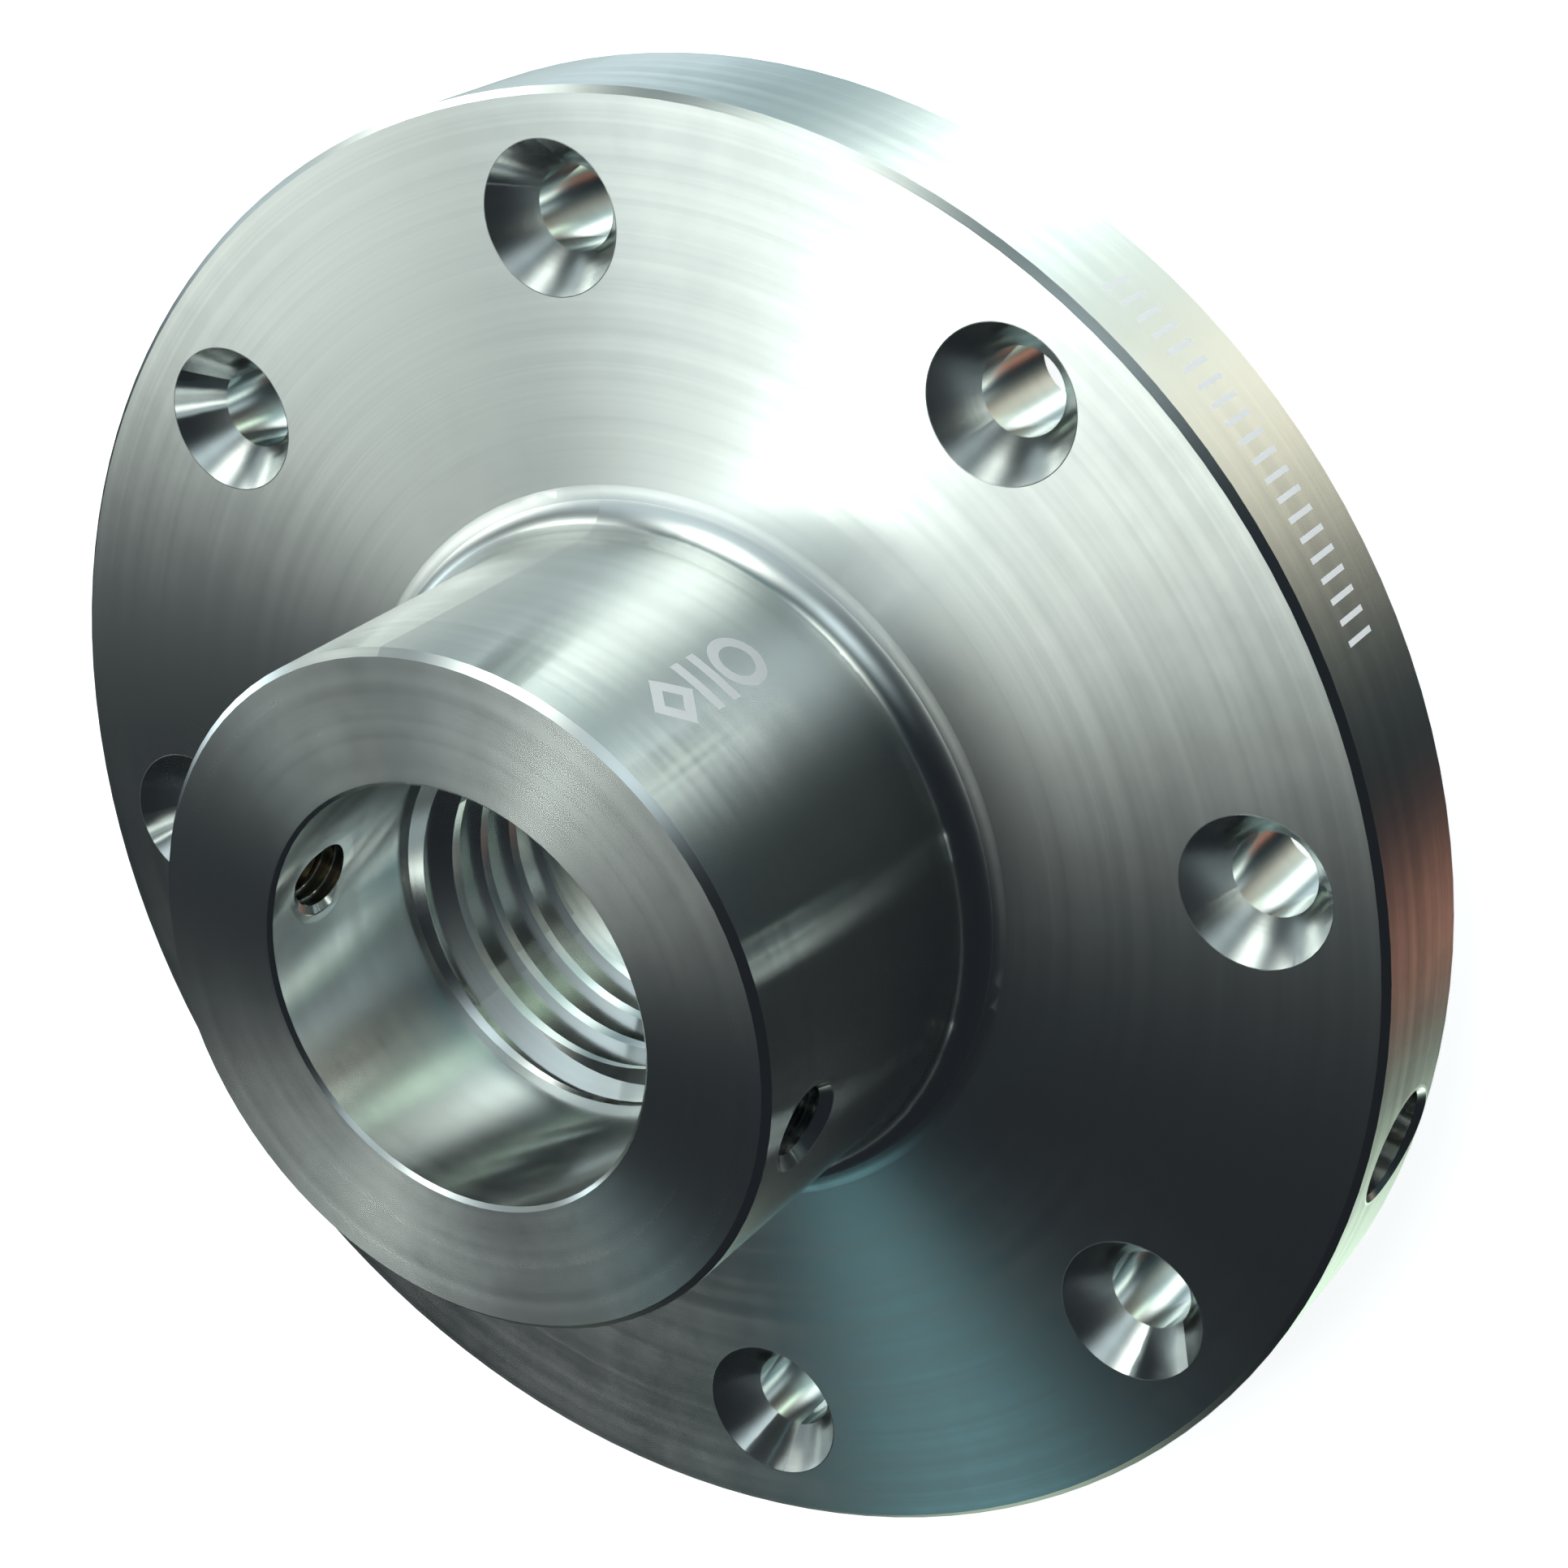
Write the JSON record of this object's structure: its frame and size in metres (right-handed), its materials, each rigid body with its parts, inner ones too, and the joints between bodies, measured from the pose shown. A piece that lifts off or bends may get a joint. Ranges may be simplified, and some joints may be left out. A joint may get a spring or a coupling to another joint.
{
  "type": "woodturning lathe faceplate",
  "caption": "Round steel faceplate for a woodturning lathe: threaded hub with plain register and grub screws, plate with countersunk screw holes.",
  "frame": {"origin": "centre of the flat face that the wood is screwed to, on the bore axis", "axes": "+Z along the bore axis, out of the hub; +X through a screw hole; the plate lies on its wood face"},
  "size_m": [0.112, 0.112, 0.0385],
  "materials": {
    "turned_steel": "fine-turned, lightly polished",
    "black_screw": "black oxide",
    "brass_pad": "plain turned"
  },
  "bodies": {
    "faceplate": {"faceplate": "turned_steel"},
    "front_brass_pad": {"front_brass_pad": "brass_pad"},
    "front_grub_screw": {"front_grub_screw": "black_screw"},
    "rear_brass_pad": {"rear_brass_pad": "brass_pad"},
    "rear_grub_screw": {"rear_grub_screw": "black_screw"}
  },
  "joints": [
    {"name": "front_pad_slide", "type": "slide", "parent": "faceplate", "child": "front_brass_pad", "axis": [-0.3827, -0.9239, 0], "range_m": [-0.00215, 0.003]},
    {"name": "front_screw_turn", "type": "hinge", "parent": "front_brass_pad", "child": "front_grub_screw", "pos_m": [-0.00784, -0.01894, 0.033], "axis": [-0.3827, -0.9239, 0], "range_deg": [-774, 1080]},
    {"name": "rear_pad_slide", "type": "slide", "parent": "faceplate", "child": "rear_brass_pad", "axis": [0.3827, 0.9239, 0], "range_m": [-0.00215, 0.003]},
    {"name": "rear_screw_turn", "type": "hinge", "parent": "rear_brass_pad", "child": "rear_grub_screw", "pos_m": [0.00784, 0.01894, 0.033], "axis": [0.3827, 0.9239, 0], "range_deg": [-774, 1080]}
  ],
  "couplings": [
    {"joint": "front_screw_turn", "follows": "front_pad_slide", "rad_per_m": 6283.2},
    {"joint": "rear_screw_turn", "follows": "rear_pad_slide", "rad_per_m": 6283.2}
  ]
}
